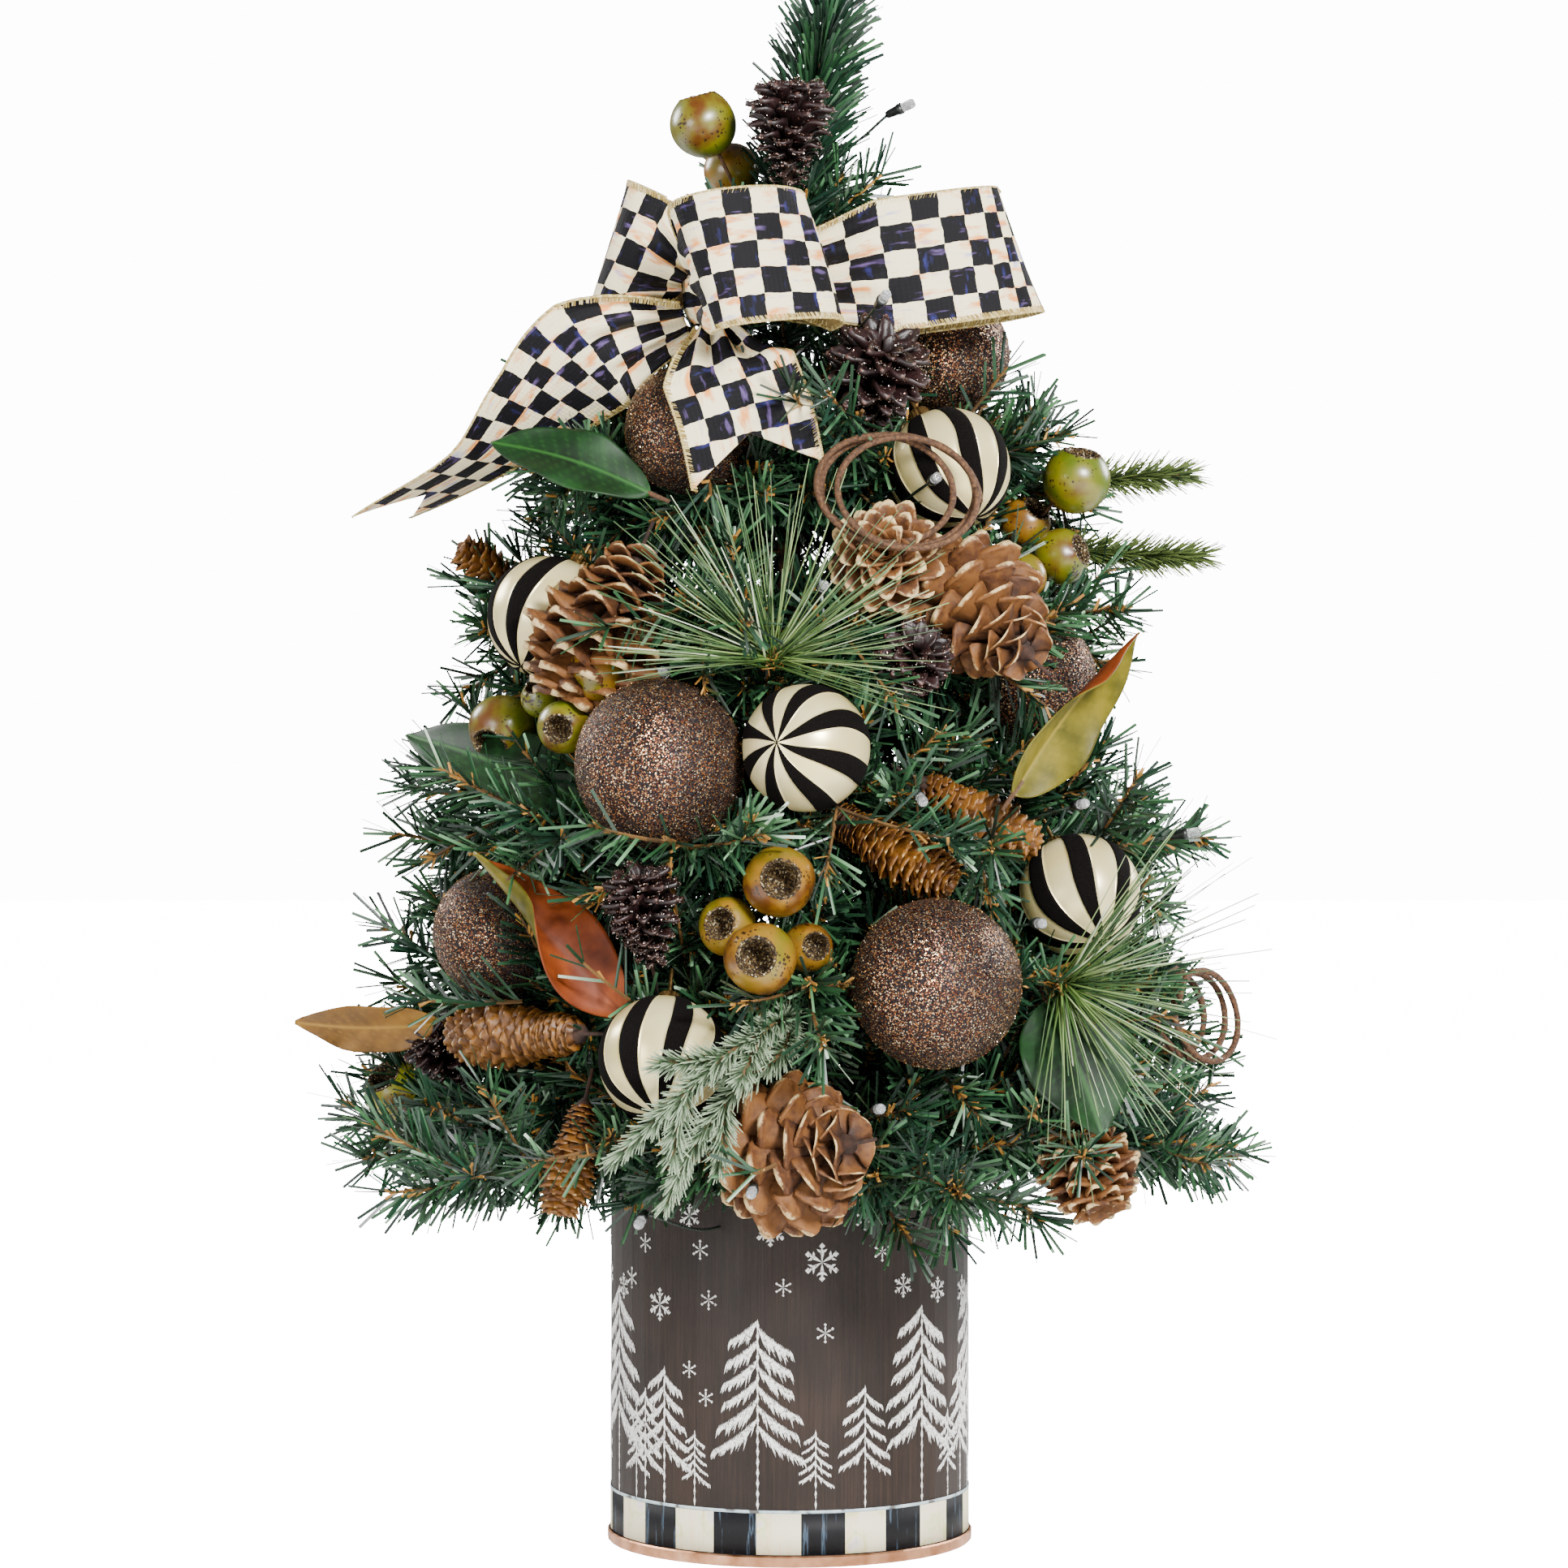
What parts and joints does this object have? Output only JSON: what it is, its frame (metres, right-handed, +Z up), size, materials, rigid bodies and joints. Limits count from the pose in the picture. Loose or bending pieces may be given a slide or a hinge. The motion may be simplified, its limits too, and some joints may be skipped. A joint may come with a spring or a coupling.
{
  "type": "artificial tabletop tree",
  "caption": "Small artificial Christmas tree in a round tin pot, with a ribbon bow, balls, cones, pods, leaves and battery lights.",
  "frame": {"origin": "centre of the flat underside of the pot, on the table", "axes": "+Z up along the trunk, -Y towards the decorated front, +X to the right seen from the front"},
  "size_m": [0.4643, 0.3906, 0.776],
  "materials": {
    "painted_tin": "satin",
    "copper_lip": "satin",
    "plaster": "matte",
    "moss": "matte",
    "trunk_bark": "matte",
    "case_plastic": "satin",
    "switch_plastic": "satin",
    "cell_sleeve": "gloss",
    "light_wire": "satin",
    "foliage": "matte",
    "ribbon": "satin",
    "glitter": "satin",
    "striped_enamel": "satin",
    "cone_scale": "matte",
    "spruce_cone_scale": "matte",
    "frosted_cone_scale": "matte",
    "pod_skin": "satin",
    "leaf_green": "satin",
    "long_needles": "satin",
    "sprig_needles": "matte",
    "vine_paper": "matte"
  },
  "bodies": {
    "tree": {"pot_wall": "painted_tin", "pot_base": "copper_lip", "plaster_weight": "plaster", "foam_plug": "moss", "trunk_pole": "trunk_bark", "battery_case": "case_plastic", "battery_1": "cell_sleeve", "battery_2": "cell_sleeve", "light_string": "light_wire", "branch_tier_1": "foliage", "branch_tier_2": "foliage", "branch_tier_3": "foliage", "branch_tier_4": "foliage", "branch_tier_5": "foliage", "bow_loop_left": "ribbon", "bow_loop_front": "ribbon", "bow_loop_right": "ribbon", "bow_knot": "ribbon", "bow_tail_left": "ribbon", "bow_tail_front": "ribbon", "glitter_ball_1": "glitter", "glitter_ball_2": "glitter", "glitter_ball_3": "glitter", "glitter_ball_4": "glitter", "glitter_ball_5": "glitter", "glitter_ball_6": "glitter", "striped_ball_1": "striped_enamel", "striped_ball_2": "striped_enamel", "striped_ball_3": "striped_enamel", "striped_ball_4": "striped_enamel", "striped_ball_5": "striped_enamel", "open_cone_1": "cone_scale", "open_cone_2": "cone_scale", "open_cone_3": "cone_scale", "open_cone_4": "cone_scale", "open_cone_5": "cone_scale", "spruce_cone_1": "spruce_cone_scale", "spruce_cone_2": "spruce_cone_scale", "spruce_cone_3": "spruce_cone_scale", "spruce_cone_4": "spruce_cone_scale", "frosted_cone_1": "frosted_cone_scale", "frosted_cone_2": "frosted_cone_scale", "frosted_cone_3": "frosted_cone_scale", "pod_pick_1": "pod_skin", "pod_pick_2": "pod_skin", "pod_pick_3": "pod_skin", "pod_pick_4": "pod_skin", "magnolia_leaf_1": "leaf_green", "magnolia_leaf_2": "leaf_green", "magnolia_leaf_3": "leaf_green", "magnolia_leaf_4": "leaf_green", "magnolia_leaf_5": "leaf_green", "needle_spray_1": "long_needles", "needle_spray_2": "long_needles", "spruce_pick_1": "sprig_needles", "spruce_pick_2": "sprig_needles", "vine_1": "vine_paper", "vine_2": "vine_paper"},
    "lid": {"battery_lid": "case_plastic"},
    "switch": {"power_switch": "switch_plastic"}
  },
  "joints": [
    {"name": "lid_slide", "type": "slide", "parent": "tree", "child": "lid", "axis": [0, 0, 1], "range_m": [0, 0.056]},
    {"name": "switch_slide", "type": "slide", "parent": "tree", "child": "switch", "axis": [1, 0, 0], "range_m": [0, 0.0048]}
  ]
}
